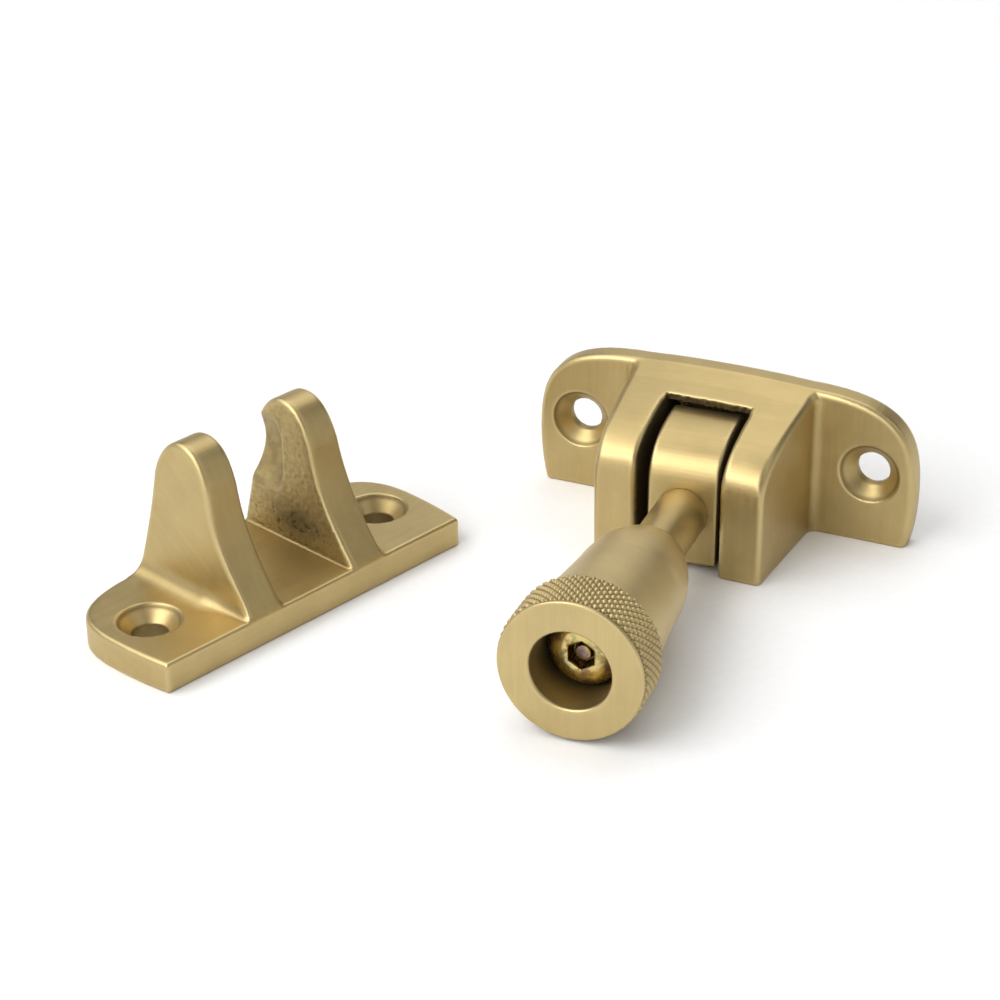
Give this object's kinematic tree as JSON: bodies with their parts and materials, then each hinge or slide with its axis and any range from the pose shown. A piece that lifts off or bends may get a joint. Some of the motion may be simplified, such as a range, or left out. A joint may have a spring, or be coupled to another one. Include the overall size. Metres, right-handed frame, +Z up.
{
  "type": "sash window fastener",
  "caption": "Swinging threaded arm with a knurled thumb nut, hinged in a block on a screw plate, beside its two-horned keep.",
  "frame": {"origin": "middle of the fastener's straight edge, on the surface that it stands on", "axes": "+X along the fastener's plate, +Y out of its fixing face (the arm points to -Y), +Z up"},
  "size_m": [0.0969, 0.0794, 0.0265],
  "materials": {
    "satin_brass": "cast, then brushed to a satin sheen",
    "turned_brass": "turned, fine satin",
    "plated_steel": "yellow passivated zinc",
    "plain_steel": "ground"
  },
  "bodies": {
    "fastener": {"body_casting": "satin_brass", "pivot_pin": "plain_steel"},
    "arm": {"knuckle": "satin_brass", "stem_stud": "turned_brass"},
    "nut": {"thumb_nut": "turned_brass"},
    "screw": {"locking_screw": "plated_steel"},
    "keep": {"keep_casting": "satin_brass"}
  },
  "joints": [
    {"name": "arm_swing", "type": "hinge", "parent": "fastener", "child": "arm", "pos_m": [0, -0.0112, 0.0086], "axis": [0.9979, 0.0654, 0], "range_deg": [-1, 91.9]},
    {"name": "nut_travel", "type": "slide", "parent": "arm", "child": "nut", "axis": [0.0654, -0.9973, 0.033], "range_m": [-0.006, 0.0023]},
    {"name": "locking_screw_turn", "type": "hinge", "parent": "arm", "child": "screw", "pos_m": [0, -0.0112, 0.0086], "axis": [0.0654, -0.9973, 0.033], "continuous": true},
    {"name": "keep_slide", "type": "slide", "parent": "fastener", "child": "keep", "axis": [-1, 0, 0], "range_m": [0, 0.03]}
  ]
}
